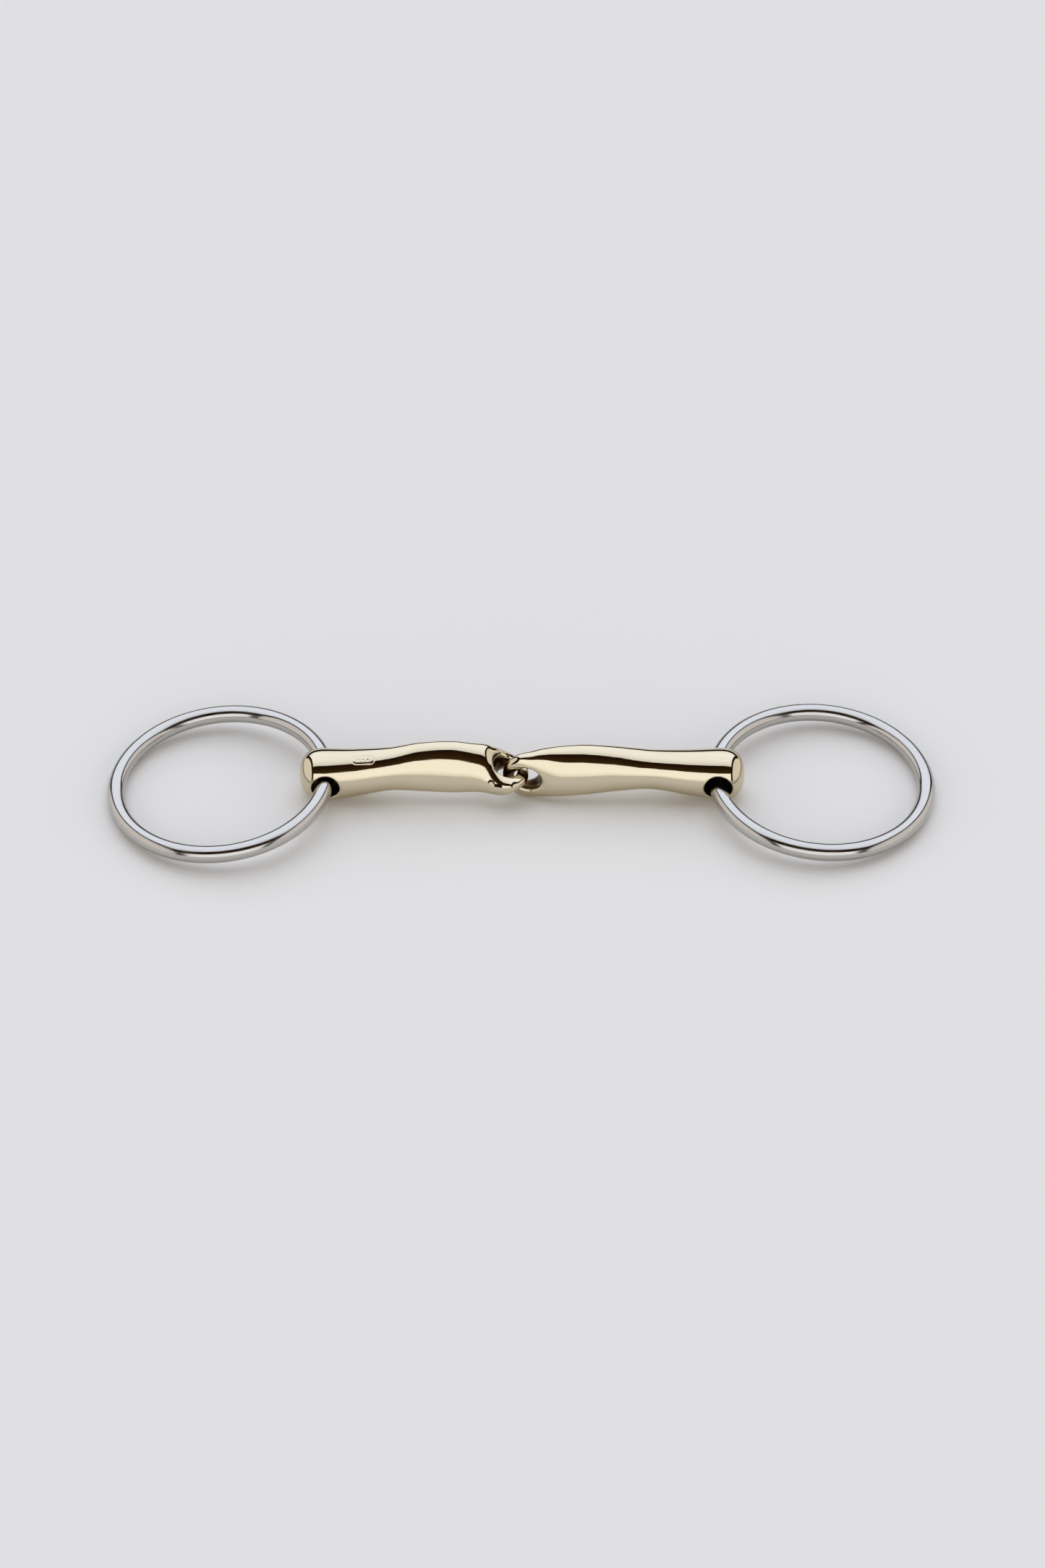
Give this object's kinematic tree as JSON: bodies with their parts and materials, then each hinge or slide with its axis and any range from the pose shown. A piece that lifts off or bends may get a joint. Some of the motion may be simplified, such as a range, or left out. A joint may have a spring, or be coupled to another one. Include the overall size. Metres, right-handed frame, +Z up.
{
  "type": "snaffle bit",
  "caption": "Loose-ring snaffle bit: curved cannons linked by cast eyes, each with a bore that a round-rod ring runs through.",
  "frame": {"origin": "under the middle of the bit, on the plane of the table it lies on", "axes": "+X from the left ring to the right ring, +Z up off the table, +Y away from the side with the nearer rein"},
  "size_m": [0.2997, 0.0848, 0.0216],
  "materials": {
    "bronze": "mirror-polished pale gold casting alloy",
    "steel": "polished stainless steel rod, bent, butt-welded and ground"
  },
  "bodies": {
    "left_cannon": {"left_cannon": "bronze"},
    "right_cannon": {"right_cannon": "bronze"},
    "left_ring": {"left_ring": "steel"},
    "right_ring": {"right_ring": "steel"}
  },
  "joints": [
    {"name": "mouth_fold", "type": "hinge", "parent": "left_cannon", "child": "right_cannon", "pos_m": [0.0005, 0.001, 0.00965], "axis": [0, 1, 0], "range_deg": [-75, 75]},
    {"name": "left_ring_swing", "type": "hinge", "parent": "left_cannon", "child": "left_ring", "pos_m": [-0.07065, 0.001, 0.00945], "axis": [0, 1, 0], "range_deg": [-90, 90]},
    {"name": "right_ring_swing", "type": "hinge", "parent": "right_cannon", "child": "right_ring", "pos_m": [0.07105, 0.001, 0.00945], "axis": [0, 1, 0], "range_deg": [-90, 90]}
  ]
}
